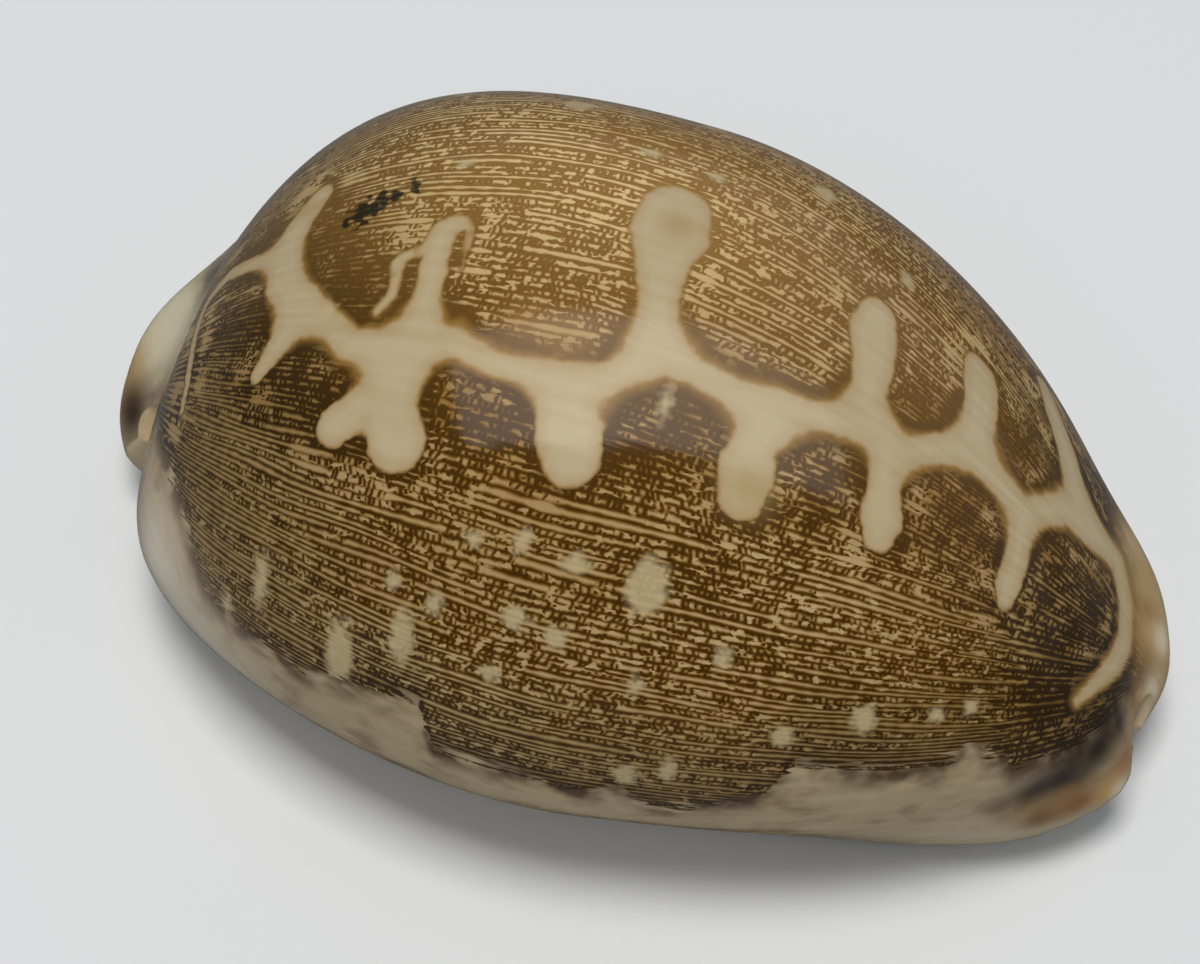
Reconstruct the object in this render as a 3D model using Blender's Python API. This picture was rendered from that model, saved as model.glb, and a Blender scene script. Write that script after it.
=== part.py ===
"""Cowrie shell, lying on its base: one hollow piece of shell with a slit along its base.

+X is the front (anterior) end, -Y the outer-lip side, +Z up, with the origin under the middle of
the shell, on the surface that it stands on. The outside is a loft of closed sections between two
poles, one just above the notch at each end. Each section is left open along the base, which makes
the slit. The rounded lips join the outside to the inside of the wall.
"""

import math

import bpy
import numpy as np

MM = 0.001

# Overall size in millimetres.
LENGTH = 75.0
WIDTH = 49.7
HEIGHT = 35.8

# Poles of the loft: back end, front end.
POLE_X = (-31.7, 32.6)
POLE_Y = (3.1, -2.5)
POLE_Z = (9.0, 7.0)

# Half widths and crest height at mid length, then how they change with the place along the shell,
# as coefficients of t, t squared and t cubed, with t from -1 at the back to 1 at the front.
LIP_SIDE = (17.1, -3.1, -1.6, -3.4)
SPIRE_SIDE = (28.5, -2.6, 6.1, -2.4)
CREST = (33.1, -3.6, -5.2, -1.9)
WIDEST_HEIGHT = 14.0
SQUARENESS_ABOVE = 2.1
SQUARENESS_BELOW = 2.1
BASE_LENGTH_POWER = 8.0

# The base bulges down on both sides of the slit and is flat where it touches. Each pair holds the
# outer lip's side, then the spire's side.
BASE_BULGE = (2.9, 1.5)
BASE_BULGE_PLACE = (7.3, 10.0)
BASE_BULGE_WIDTH = (4.0, 5.5)
BASE_VALLEY = 1.2
BASE_VALLEY_WIDTH = 4.0

# Blunt lobes beside the notches: reach, distance from the slit, half width, height at the slit,
# rise away from the slit, and half height.
BACK_LIP_LOBE = (0.8, 5.0, 5.0, 4.0, 0.3, 5.0)
BACK_SPIRE_LOBE = (4.9, 6.5, 7.8, 2.5, 0.45, 5.0)
FRONT_LIP_LOBE = (2.5, 4.8, 4.0, 2.5, 0.2, 4.5)
FRONT_SPIRE_LOBE = (2.8, 8.0, 6.2, 3.0, 0.3, 5.0)
LOBE_ROOT = (0.35, 0.8)
LOBE_BLUNTNESS = 3.0

# Slit, lips and wall.
SLIT_HALF_WIDTH = (1.1, 1.4)
LIP_ROUNDING = 2.0
NOTCH_ROUNDING = 0.5
LIP_SPAN = (0.10, 0.35)
WALL_TOP = 1.6
WALL_BASE = 4.0
WALL_NOTCH = 1.3
WALL_SPAN = (0.03, 0.25)
RIM_SMOOTHING = 4

# First and last section, as a share of the way between the poles.
FIRST_SECTION = 0.026
LAST_SECTION = 0.966

# Fineness of the loft.
SECTIONS = 38
POINTS_AROUND = 40
LIP_STEPS = 3
FINE_POINTS = 720
STEP = 1e-4

SHELL_COLOUR = (0.42, 0.29, 0.15, 1.0)
SHELL_ROUGHNESS = 0.2


def ease(value, start, end):
    """A smooth step from 0 at start to 1 at end."""
    share = np.clip((value - start) / (end - start), 0.0, 1.0)
    return share * share * (3.0 - 2.0 * share)


def hump(value, middle, width):
    return np.exp(-(((value - middle) / width) ** 2))


def blunt(value, middle, width):
    return np.exp(-(np.abs((value - middle) / width) ** LOBE_BLUNTNESS))


def along(place, coefficients):
    return sum(number * place**power for power, number in enumerate(coefficients))


def between(ends, share):
    return ends[0] + (ends[1] - ends[0]) * share


def slit_line(share):
    """The slit's sideways place: it bends to the spire side near the back end."""
    return POLE_Y[0] * (1.0 - ease(share, 0.0, 0.5)) + POLE_Y[1] * ease(share, 0.5, 1.0)


def lobes(place, aside, height):
    """How far the end lobes push the surface out along X."""
    push = 0.0
    ends = ((-1.0, BACK_LIP_LOBE, BACK_SPIRE_LOBE), (1.0, FRONT_LIP_LOBE, FRONT_SPIRE_LOBE))
    for end, lip_lobe, spire_lobe in ends:
        root = ease(end * place, *LOBE_ROOT)
        for side, lobe in ((-1.0, lip_lobe), (1.0, spire_lobe)):
            reach, offset, wide, low, rise, tall = lobe
            outward = side * aside
            shape = blunt(outward, offset, wide) * blunt(height, low + rise * outward, tall)
            push = push + end * root * reach * shape
    return push


def half_widths(section):
    place = -np.cos(np.pi * section)
    swell = np.sin(np.pi * section)
    return swell * along(place, LIP_SIDE), swell * along(place, SPIRE_SIDE)


def surface(section, angle, outside=True):
    """A point on the shell. The angle turns from 0 under the slit, over the outer lip's side."""
    section, angle = np.broadcast_arrays(section, angle)
    place = -np.cos(np.pi * section)
    swell = np.sin(np.pi * section)
    share = (place + 1.0) / 2.0
    pole_z = between(POLE_Z, share)
    lip_side, spire_side = half_widths(section)
    crest = along(place, CREST) - sum(POLE_Z) / 2.0
    top = pole_z + swell * crest
    flatness = np.sqrt(np.clip(1.0 - np.abs(place) ** BASE_LENGTH_POWER, 0.0, None))
    bottom = pole_z * (1.0 - flatness)
    widest = pole_z + (WIDEST_HEIGHT - pole_z) * swell

    across = np.sin(angle)
    upward = -np.cos(angle)
    squareness = np.where(upward > 0.0, SQUARENESS_ABOVE, SQUARENESS_BELOW)
    own_side = np.where(across > 0.0, lip_side, spire_side)
    half_width = np.where(upward > 0.0, (lip_side + spire_side) / 2.0, own_side)
    lean = np.where(upward > 0.0, (spire_side - lip_side) / 2.0, 0.0)
    rise = np.where(upward > 0.0, top - widest, widest - bottom)
    aside = lean - np.sign(across) * half_width * np.abs(across) ** (2.0 / squareness)
    z = widest + np.sign(upward) * rise * np.abs(upward) ** (2.0 / squareness)

    under = ease(-upward, 0.0, 0.8) * ease(swell, 0.2, 0.7)
    bulge = 0.0
    for side, depth, middle, wide in zip((-1.0, 1.0), BASE_BULGE, BASE_BULGE_PLACE, BASE_BULGE_WIDTH):
        bulge = bulge + depth * hump(side * aside, middle, wide)
    valley = BASE_VALLEY * hump(aside, 0.0, BASE_VALLEY_WIDTH)
    z = z + under * (valley - bulge)

    x = between(POLE_X, share)
    if outside:
        x = x + lobes(place, aside, z)
        z = np.maximum(z, 0.0)
    return np.stack([x, slit_line(share) + aside, z], axis=-1)


def inward(section, angle):
    """The direction into the wall, square to the surface without its lobes."""
    ahead = surface(section + STEP, angle, False) - surface(section - STEP, angle, False)
    around = surface(section, angle + STEP, False) - surface(section, angle - STEP, False)
    return unit(np.cross(around, ahead))


def from_notch(section, notch_value, full_value, span):
    """A value that holds at both notches and turns smoothly to its full value between them."""
    near_end = np.minimum(section, 1.0 - section)
    return notch_value + (full_value - notch_value) * ease(near_end, *span)


def lip_rounding(section):
    """The lips' bulge into the slit: small at the notches and full along the base."""
    return from_notch(section, NOTCH_ROUNDING, LIP_ROUNDING, LIP_SPAN)


def unit(vectors):
    return vectors / np.linalg.norm(vectors, axis=-1, keepdims=True)


def section_angles(section):
    """Angles of one section's points, evenly spaced from one lip over the top to the other."""
    gap = between(SLIT_HALF_WIDTH, section) + lip_rounding(section)
    starts = []
    for half_width in half_widths(section):
        ratio = gap / half_width
        share = ratio / (1.0 + ratio**4) ** 0.25
        starts.append(math.asin(share ** (SQUARENESS_BELOW / 2.0)))
    fine = np.linspace(starts[0], 2.0 * math.pi - starts[1], FINE_POINTS)
    points = surface(section, fine)
    run = np.concatenate([[0.0], np.cumsum(np.linalg.norm(np.diff(points, axis=0), axis=1))])
    return np.interp(np.linspace(0.0, run[-1], POINTS_AROUND), run, fine)


def rim(grid):
    """The border of a grid of rows and columns, once round."""
    return np.concatenate([grid[0, :-1], grid[:-1, -1], grid[-1, :0:-1], grid[:0:-1, 0]])


def shell_points():
    """Outer grid, rings of points round the lips, and inner grid, in millimetres."""
    sections = np.linspace(FIRST_SECTION, LAST_SECTION, SECTIONS)[:, None]
    angles = np.array([section_angles(section[0]) for section in sections])
    outer = surface(sections, angles)
    plain = surface(sections, angles, False)
    into_wall = inward(sections, angles)
    depth = np.clip(1.0 - plain[..., 2:] / HEIGHT, 0.0, 1.0)
    full_wall = WALL_TOP + (WALL_BASE - WALL_TOP) * depth**2
    inner = plain + into_wall * from_notch(sections[..., None], WALL_NOTCH, full_wall, WALL_SPAN)

    outer_rim = rim(outer)
    inner_rim = rim(inner)
    bulge = rim(np.broadcast_to(lip_rounding(sections), angles.shape))[:, None]
    run = np.roll(outer_rim, -1, axis=0) - np.roll(outer_rim, 1, axis=0)
    to_slit = unit(np.cross(run, rim(into_wall)))
    for _ in range(RIM_SMOOTHING):
        to_slit = unit(to_slit + (np.roll(to_slit, 1, axis=0) + np.roll(to_slit, -1, axis=0)) / 2.0)
    rings = []
    for step in range(1, LIP_STEPS + 1):
        turn = math.pi * step / (LIP_STEPS + 1)
        middle = (outer_rim + inner_rim) / 2.0
        half = (outer_rim - inner_rim) / 2.0
        rings.append(middle + half * math.cos(turn) + to_slit * bulge * math.sin(turn))
    return outer, rings, inner


def shell_faces():
    """Quads over the outer grid, the lips and the inner grid, all facing outwards."""
    rows, columns = SECTIONS, POINTS_AROUND
    outer = np.arange(rows * columns).reshape(rows, columns)
    around = 2 * (rows + columns) - 4
    inner = outer + rows * columns + around * LIP_STEPS
    faces = []
    for row in range(rows - 1):
        for column in range(columns - 1):
            corners = [(row, column), (row + 1, column), (row + 1, column + 1), (row, column + 1)]
            faces.append([outer[corner] for corner in corners])
            faces.append([inner[corner] for corner in reversed(corners)])
    loops = [rim(outer)]
    for step in range(LIP_STEPS):
        loops.append(rows * columns + step * around + np.arange(around))
    loops.append(rim(inner))
    for near, far in zip(loops, loops[1:]):
        for point in range(around):
            after = (point + 1) % around
            faces.append([near[point], near[after], far[after], far[point]])
    return faces


def fit_to_size(points):
    """Stands the points on Z = 0, centred on the origin, at the overall size, in metres."""
    low = points.min(axis=0)
    high = points.max(axis=0)
    foot = np.array([(low[0] + high[0]) / 2.0, (low[1] + high[1]) / 2.0, low[2]])
    size = np.array([LENGTH, WIDTH, HEIGHT])
    return (points - foot) * size / (high - low) * MM


def shell_material():
    material = bpy.data.materials.new("glossy_shell")
    material.use_nodes = True
    shader = material.node_tree.nodes["Principled BSDF"]
    shader.inputs["Base Color"].default_value = SHELL_COLOUR
    shader.inputs["Roughness"].default_value = SHELL_ROUGHNESS
    shader.inputs["Metallic"].default_value = 0.0
    return material


def make_shell(collection):
    outer, rings, inner = shell_points()
    points = np.concatenate([outer.reshape(-1, 3), *rings, inner.reshape(-1, 3)])
    mesh = bpy.data.meshes.new("shell")
    mesh.from_pydata(fit_to_size(points).tolist(), [], [list(map(int, face)) for face in shell_faces()])
    mesh.validate()
    mesh.shade_smooth()
    mesh.materials.append(shell_material())
    collection.objects.link(bpy.data.objects.new("shell", mesh))


def main():
    for item in list(bpy.data.objects):
        bpy.data.objects.remove(item)
    collection = bpy.data.collections.new("cowrie_shell")
    bpy.context.scene.collection.children.link(collection)
    make_shell(collection)


main()
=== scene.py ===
"""A cowrie shell on a pale table: the grown shell with its glossy, marked dome, and a studio stage.

The shell is one thick sheet wrapped into an egg. A flat slab is made from a grid, and each of its
points is then carried to its place on the shell: the slab's top is the outside, its sides are the
toothed lips, and its underside is the inner wall. +X is the front (anterior) end, -Y the outer
lip's side and +Z up. Shape sizes are in millimetres.
"""

import functools
import math

import bmesh
import bpy
import numpy as np
from mathutils import Matrix, Vector


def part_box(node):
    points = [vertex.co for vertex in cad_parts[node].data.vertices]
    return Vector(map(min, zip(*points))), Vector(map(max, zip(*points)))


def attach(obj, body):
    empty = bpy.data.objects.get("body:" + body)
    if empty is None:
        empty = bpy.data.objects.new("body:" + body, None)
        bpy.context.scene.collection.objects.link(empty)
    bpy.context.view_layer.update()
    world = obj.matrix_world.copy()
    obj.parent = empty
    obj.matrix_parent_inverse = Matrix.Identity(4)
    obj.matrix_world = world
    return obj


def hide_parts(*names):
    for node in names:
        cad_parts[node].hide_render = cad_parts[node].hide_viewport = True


bl_info = {
    "name": "Cowrie shell",
    "version": (1, 0, 0),
    "blender": (4, 5, 0),
    "location": "3D View > Sidebar > Shell",
    "description": "Builds a cowrie shell and the table and lights it is shown with",
    "category": "Add Mesh",
}

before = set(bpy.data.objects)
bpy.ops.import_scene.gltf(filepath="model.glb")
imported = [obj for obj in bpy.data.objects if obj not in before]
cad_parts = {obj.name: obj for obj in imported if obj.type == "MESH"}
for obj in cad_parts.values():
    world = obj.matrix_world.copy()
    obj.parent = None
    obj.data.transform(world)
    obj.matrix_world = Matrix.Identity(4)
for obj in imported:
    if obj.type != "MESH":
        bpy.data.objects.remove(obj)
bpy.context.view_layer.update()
BOX_LOW, BOX_HIGH = (np.array(corner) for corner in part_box("shell"))

MM = 0.001

# ---------------------------------------------------------------- shape of the shell

# Poles of the loft: back end, front end.
POLE_X = (-31.7, 32.6)
POLE_Y = (3.1, -2.5)
POLE_Z = (9.0, 7.0)

# Half widths and crest height at mid length, then how they change with the place along the shell,
# as coefficients of t, t squared and t cubed, with t from -1 at the back to 1 at the front.
LIP_SIDE = (17.1, -3.1, -1.6, -3.4)
SPIRE_SIDE = (28.5, -2.6, 6.1, -2.4)
CREST = (33.1, -3.6, -5.2, -1.9)
WIDEST_HEIGHT = 14.0
SQUARENESS = 2.1
BASE_LENGTH_POWER = 8.0

# The base bulges down on both sides of the slit and is flat where it touches. Each pair holds the
# outer lip's side, then the spire's side.
BASE_BULGE = (2.9, 1.5)
BASE_BULGE_PLACE = (7.3, 10.0)
BASE_BULGE_WIDTH = (4.0, 5.5)
BASE_VALLEY = 1.2
BASE_VALLEY_WIDTH = 4.0

# Blunt lobes beside the notches: reach, distance from the slit, half width, height at the slit,
# rise away from the slit, and half height.
BACK_LIP_LOBE = (0.8, 5.0, 5.0, 4.0, 0.3, 5.0)
BACK_SPIRE_LOBE = (4.9, 6.5, 7.8, 2.5, 0.45, 5.0)
FRONT_LIP_LOBE = (2.5, 4.8, 4.0, 2.5, 0.2, 4.5)
FRONT_SPIRE_LOBE = (2.8, 8.0, 6.2, 3.0, 0.3, 5.0)
LOBE_ROOT = (0.35, 0.8)
LOBE_BLUNTNESS = 3.0

# Slit, lips and wall.
SLIT_HALF_WIDTH = (1.1, 1.4)
LIP_ROUNDING = 2.0
NOTCH_ROUNDING = 0.5
LIP_SPAN = (0.10, 0.35)
WALL_TOP = 1.6
WALL_BASE = 4.0
WALL_NOTCH = 1.3
WALL_SPAN = (0.03, 0.25)
WALL_HEIGHT = 35.8

# First and last section, as a share of the way between the poles.
FIRST_SECTION = 0.026
LAST_SECTION = 0.966

# Fineness: sections along, points around, steps round the lips.
SECTIONS = 272
POINTS_AROUND = 256
LIP_STEPS = 6
FINE_POINTS = 1200
LIP_CROWDING = 0.3
STEP = 1e-4
RIM_SMOOTHING_MM = 1.5
LINING_LEFT = 0.08

# Teeth: place along the shell where they start and end, and how far they run out over the base.
TEETH_SPAN = (-27.0, 29.0)
TEETH_FADE = 3.0
TEETH_RUN = 2.6

# ---------------------------------------------------------------- places of the markings

# The lines run from one point just inside the back end to one just past the front end.
LINES_MEET = ((-34.0, 1.0, 11.0), (39.0, -5.0, 9.5))
LINE_ARC_RADIUS = 37.5

# How closely the lines lie, by degrees round: closest low down on each side.
LINE_CROWDING = ((-20, 1.3), (15, 1.3), (40, 1.2), (70, 1.0), (120, 1.0), (150, 1.2), (200, 1.2))

# A place on the dome is (millimetres along X, degrees round from the outer lip's side over the
# top), and each point of a pale strip also has its half width in millimetres.
MANTLE_LINE = (
    (-24, 97, 0.8), (-23.5, 91, 1.1), (-21.7, 83, 1.5), (-19.1, 79, 0.9), (-17.3, 76, 1.0),
    (-15.6, 75.5, 1.3), (-14, 75, 1.6), (-12.5, 78, 1.3), (-10.5, 79, 0.8), (-8, 77, 0.8),
    (-6, 76, 0.8), (-3, 76, 1.0), (-1, 78, 1.0), (0.5, 82, 1.0), (2, 85, 1.1), (4.5, 84, 0.9),
    (7, 83, 1.0), (9, 83, 1.3), (11.5, 85, 0.9), (13.5, 88, 1.1), (15.5, 89, 1.2), (17.5, 88, 0.9),
    (19.5, 94, 1.0), (21.5, 99, 1.3), (23.5, 98, 1.1), (25.5, 97, 1.0), (28.1, 112, 1.1),
    (30.1, 122, 1.2), (32.5, 134, 1.0), (33.5, 121, 0.9), (33.8, 83, 0.9), (33.4, 60, 0.85),
    (32.3, 47, 0.5), (31.3, 40, 0.3),
)
# Branches: how softly each grows out of the line, then its places.
BRANCHES = (
    # Towards the top of the dome, from the back end to the front.
    (1.5, ((-23.5, 91, 1.2), (-24.3, 100, 1.35), (-23.8, 107, 1.2), (-22.9, 112, 0.9))),
    (1.2, ((-24, 97, 0.7), (-26.5, 101, 0.6), (-28.5, 103, 0.5), (-29.8, 100, 0.4), (-30.1, 92, 0.35),
           (-29.8, 82, 0.3), (-29.5, 73, 0.3), (-29.3, 65, 0.3), (-29.1, 57, 0.2))),
    (2.2, ((-12.8, 80, 1.5), (-12.9, 86, 1.25), (-12.7, 92, 1.4), (-12.7, 96.5, 1.5))),
    (0.3, ((-14, 94.5, 0.4), (-15.1, 93.2, 0.35), (-15.9, 91, 0.35), (-15.5, 88, 0.3), (-15.5, 85, 0.3),
           (-16.3, 82.3, 0.25))),
    (2.4, ((1.5, 86, 1.3), (1, 93, 1.2), (0.5, 100, 1.7), (0.5, 105, 2.5), (0.5, 109, 2.2))),
    (2.2, ((14.5, 94, 1.1), (14.5, 102, 1.5), (14, 106, 1.8), (14, 110, 1.4))),
    (2.0, ((21.5, 103, 1.2), (21.7, 112, 1.5), (21.3, 118, 1.5), (21, 120, 1.2))),
    (2.0, ((30, 122, 1.1), (28.8, 127, 1.3), (27.8, 133, 1.2), (26.6, 139, 1.1), (25.6, 144, 0.8))),
    # Towards the outer lip, from the back end to the front.
    (1.8, ((-21.7, 82, 1.2), (-22.5, 76, 0.9), (-23.1, 72, 0.75), (-23.6, 68, 0.5))),
    (2.2, ((-14, 72, 1.6), (-14, 67, 1.8), (-13, 62, 1.9))),
    (1.0, ((-15.5, 67, 1.2), (-17, 62, 1.3))),
    (2.2, ((-3, 74, 1.5), (-2.5, 69, 2.0), (-2, 66, 1.8))),
    (2.2, ((9, 80, 1.2), (8.5, 75, 1.4), (8.5, 72, 1.8), (8.5, 68, 1.4))),
    (2.2, ((16.5, 85, 1.1), (16.5, 81, 1.0), (17, 74, 1.5), (17, 71, 1.1))),
    (1.8, ((25.5, 90, 1.0), (25.5, 79, 1.0), (25.4, 72, 1.0), (25.4, 68, 0.7))),
)

# Tongues of brown that run into the pale line.
TONGUES = (
    (0.5, ((-11.2, 83.5, 0.8), (-11.7, 86, 0.65), (-11.9, 89, 0.5), (-12.0, 92, 0.45), (-12.2, 96.5, 0.4))),
    (0.4, ((-26.5, 74, 0.4), (-25.2, 77, 0.35), (-24.6, 80, 0.2))),
)

# How far the woven ground reaches from the line, towards the outer lip and over the top.
WEAVE_BELOW = 8.5
WEAVE_ABOVE = ((-30, 7.5), (-15, 7.5), (-12, 2.2), (12, 2.2), (15, 5.5), (35, 6.5))

# Spots: place, half length along the lines and half width across them.
SPOTS = (
    (4, 52, 1.2, 1.8), (-8.5, 42, 0.5, 0.7), (-3.5, 43, 0.8, 0.7), (-1, 42, 0.7, 0.7),
    (-0.5, 53, 0.8, 0.6), (-4.5, 34, 0.6, 0.6), (18, 37, 0.8, 0.9), (13.5, 32, 0.7, 0.7),
    (9, 45, 0.6, 0.6), (22.5, 39, 0.6, 0.5), (24.5, 41, 0.5, 0.5), (-20.5, 32, 0.5, 1.7),
    (-14.5, 27, 0.9, 2.6), (-10.5, 35, 0.7, 1.8), (4.5, 20, 0.7, 1.0), (7, 23, 0.5, 1.0),
    (-13.5, 112, 0.5, 0.5), (-2, 121, 0.6, 0.5), (2.5, 120, 0.5, 0.5), (15.5, 124, 0.5, 0.7),
    (-23, 23, 0.4, 0.8), (-11.5, 43, 0.5, 0.5), (-7, 52, 0.7, 0.4), (-4, 54, 0.5, 0.7),
    (4.5, 38, 0.6, 0.5), (-19.5, 83, 0.7, 0.5), (2.7, 78, 0.3, 0.9), (16.2, 76, 0.2, 0.9),
    # The far side of the dome.
    (-8, 133, 1.0, 1.2), (1, 140, 0.9, 1.1), (9, 131, 0.8, 1.0), (16.5, 146, 0.9, 0.8),
    (-16, 142, 0.8, 1.0), (-3, 152, 1.1, 1.0), (11, 156, 0.9, 1.2), (-12, 160, 0.8, 0.9),
    (21, 155, 0.6, 0.8), (-22, 150, 0.6, 0.9),
)

# Black specks, given in the same way.
SPECKS = (
    (-20.2, 102.6, 0.40, 0.50), (-19.3, 103.6, 0.80, 1.10), (-18.4, 104.8, 0.70, 0.90),
    (-17.3, 106.0, 0.55, 0.50), (-16.4, 106.8, 0.45, 0.60),
)

# Lower edge of the markings: places along X and degrees round, on each side.
LIP_MARGIN = (
    (-34, 60), (-30, 44), (-28, 38), (-26.5, 31), (-25, 22), (-21, 20), (-17, 19), (-15.5, 21),
    (-13.5, 22), (-9, 26), (-8, 15), (-5, 16), (-2, 16), (1.5, 13), (3.5, 16), (7, 12), (9.5, 14),
    (13, 19), (14.5, 27), (17, 27), (21, 26), (23, 26), (25, 31), (27, 28), (28, 22), (30, 24),
    (32, 24), (33.5, 27), (35, 40),
)
SPIRE_MARGIN = (
    (-34, 150), (-30, 158), (-24, 166), (-18, 171), (-12, 169), (-6, 173), (0, 170), (6, 174),
    (12, 170), (18, 172), (24, 168), (29, 163), (32, 158), (35, 150),
)

# Soft stains on the dome: place along X, degrees round, radius, colour and strength.
DOME_STAINS = (
    (0.8, 107, 1.6, "#A58655", 0.6),
    (8.6, 69.5, 1.5, "#B09863", 0.7),
    (-4.0, 83.0, 2.0, "#A27C44", 0.45),
    (-6.8, 83.5, 1.6, "#A27C44", 0.4),
    (-23.6, 110, 1.2, "#A88A50", 0.5),
)

# Soft stains of colour at the ends, with painted light among them: pale patches where the back
# end's outer-lip side is lit, and a dark patch of painted shade in the crevice at the back lobe's root.
# Each has a centre in millimetres, radius, colour and strength.
END_STAINS_AND_PAINTED_LIGHT = (
    ((-35.0, 6.0, 11.0), 5.0, "#D6CBAE", 1.0),
    # Painted light: pale patches where the back end's outer-lip side is lit.
    ((-29.2, -13.0, 13.2), 4.3, "#F2E8D4", 0.88),
    ((-23.6, -18.6, 10.5), 4.5, "#D2C6AE", 0.6),
    ((-26.5, -16.5, 9.5), 5.0, "#EFE4CE", 0.7),
    ((-34.6, 6.6, 11.6), 2.4, "#CDC6AA", 0.9),
    ((-37.3, 4.0, 8.6), 2.2, "#B08D4A", 0.9),
    ((-36.2, 1.4, 8.4), 1.7, "#7A5226", 0.9),
    ((-35.6, 0.4, 8.6), 2.3, "#2B1D13", 1.0),
    ((-34.8, -3.2, 7.0), 1.8, "#4A392C", 0.9),
    ((-33.2, -3.2, 13.0), 1.5, "#8A7B62", 0.6),
    # Painted shade: a dark patch in the crevice at the back lobe's root.
    ((-31.9, 9.0, 15.4), 1.6, "#4B4641", 0.9),
    ((33.4, 3.2, 12.3), 2.2, "#B59D76", 1.0),
    ((34.7, 0.4, 11.6), 2.1, "#B09263", 1.0),
    ((35.5, -2.6, 11.2), 2.0, "#AE8D5C", 1.0),
    ((36.6, -3.5, 8.4), 2.6, "#A98352", 0.9),
    ((35.6, 2.6, 8.6), 2.6, "#B79C6F", 0.9),
    ((35.0, -1.2, 11.4), 0.6, "#8A5F33", 0.5),
    ((35.7, -7.6, 9.4), 1.9, "#9A7448", 0.9),
    ((35.2, -11.2, 8.2), 1.8, "#A07245", 0.9),
    ((31.2, -14.5, 11.2), 2.6, "#1E1004", 1.0),
    ((33.0, -12.2, 11.8), 2.1, "#1E1004", 1.0),
    ((29.6, -15.6, 10.9), 1.7, "#22170F", 0.9),
    ((27.6, -17.0, 10.4), 1.3, "#4A3524", 0.6),
    ((33.9, -10.0, 11.4), 1.5, "#221710", 1.0),
    ((34.4, -7.6, 11.8), 1.0, "#3B2C20", 0.85),
    ((31.8, -14.9, 8.0), 1.6, "#96683A", 0.8),
    ((29.9, -15.9, 8.2), 1.6, "#A5855A", 0.6),
    ((34.4, -12.9, 7.2), 1.1, "#C0944A", 0.9),
    ((32.9, -14.2, 7.8), 1.3, "#7E5526", 0.85),
    ((30.5, -16.0, 7.6), 1.4, "#6F4E28", 0.8),
    ((35.5, -12.2, 6.6), 1.0, "#E2D6B8", 0.85),
    ((36.6, -2.2, 9.7), 1.2, "#E2D6B8", 0.8),
    ((36.5, -5.7, 8.9), 1.3, "#DACDAE", 0.8),
)

# Painted sheen over the top of the dome, where the glaze mirrors the light behind: the ground and
# the lines there are painted paler, and the lines are finer. Middle and width, in degrees round
# and in millimetres along.
TOP_SHEEN_ROUND = (113.0, 28.0)
TOP_SHEEN_ALONG = (-3.0, 22.0)

# Painted shade: darker, cooler brown towards both ends and down the sides to the margin, where less
# light falls; the same share also changes the pattern there. From where to where, in millimetres
# towards the back end, towards the front end and down to the margin, and how much of it the margin gets.
END_SHADE_BACK = (8.0, 26.0)
END_SHADE_FRONT = (20.0, 32.0)
LOW_SHADE = (-9.0, -0.5)
LOW_SHADE_SHARE = 0.75

# Stored distances stop at these many millimetres, past all that reads them.
MARK_FAR = 9.0
MARGIN_FAR = 20.0

# The woven ground starts to thin at this share of its reach, and its two reaches meet over these
# degrees on both sides of the line.
WEAVE_START = 0.3
WEAVE_BLEND = 6.0

# Steps round the shell for adding up how closely the lines lie: two to a degree.
ROUND_STEPS = 721

# Tint of the toothed lips: its strength, and how far from the ends it starts, as a share of the length.
LIP_TINT = 0.5
LIP_TINT_START = 0.06

# Depth of the waves that the polish leaves, in metres.
POLISH_DEPTH = 0.00008

# Layout for baking, as shares of the square: where the oval starts, its length and height, how much
# the lips add to both, and the small patch in the corner for the inner wall.
OVAL_START = 0.05
OVAL_LENGTH = 0.90
OVAL_HEIGHT = 0.86
LIPS_LENGTH = 0.023
LIPS_HEIGHT = 0.12
PATCH_START = 0.01
PATCH_MIDDLE = 0.065
PATCH_SIZE = 0.11
LEAST_SWELL = 0.02

# ---------------------------------------------------------------- stage

TABLE_SIDES = 96
TABLE_FADE = (0.12, 0.5)
SENSOR_WIDTH = 36.0
SOFTBOX_SPREAD = math.radians(130.0)

# Each softbox: its place and the point it faces, its size in metres, its turn and its colour.
LONG_SOFTBOX = ((0.15, 0.15, 0.6), (0.15, 0.15, 0.0), (1.15, 0.38), math.radians(15.0), (1.0, 0.96, 0.90))
KEY_SOFTBOX = ((-0.02, -0.055, 0.7), (0.0, 0.0, 0.0), (0.22, 0.22), 0.0, (1.0, 0.97, 0.92))


# ---------------------------------------------------------------- numbers and colours


def linear(code):
    """Turns an sRGB hex colour into the linear values that a shader takes."""
    channels = [int(code[place:place + 2], 16) / 255.0 for place in (1, 3, 5)]
    return tuple(c / 12.92 if c <= 0.04045 else ((c + 0.055) / 1.055) ** 2.4 for c in channels)


def ease(value, start, end):
    """A smooth step from 0 at start to 1 at end."""
    share = np.clip((value - start) / (end - start), 0.0, 1.0)
    return share * share * (3.0 - 2.0 * share)


def hump(value, middle, width):
    return np.exp(-(((value - middle) / width) ** 2))


def blunt(value, middle, width):
    return np.exp(-(np.abs((value - middle) / width) ** LOBE_BLUNTNESS))


def along(place, coefficients):
    return sum(number * place**power for power, number in enumerate(coefficients))


def between(ends, share):
    return ends[0] + (ends[1] - ends[0]) * share


def unit(vectors):
    return vectors / np.linalg.norm(vectors, axis=-1, keepdims=True)


# ---------------------------------------------------------------- the shell's surface


def slit_line(share):
    """The slit's sideways place: it bends to the spire side near the back end."""
    return POLE_Y[0] * (1.0 - ease(share, 0.0, 0.5)) + POLE_Y[1] * ease(share, 0.5, 1.0)


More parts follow.
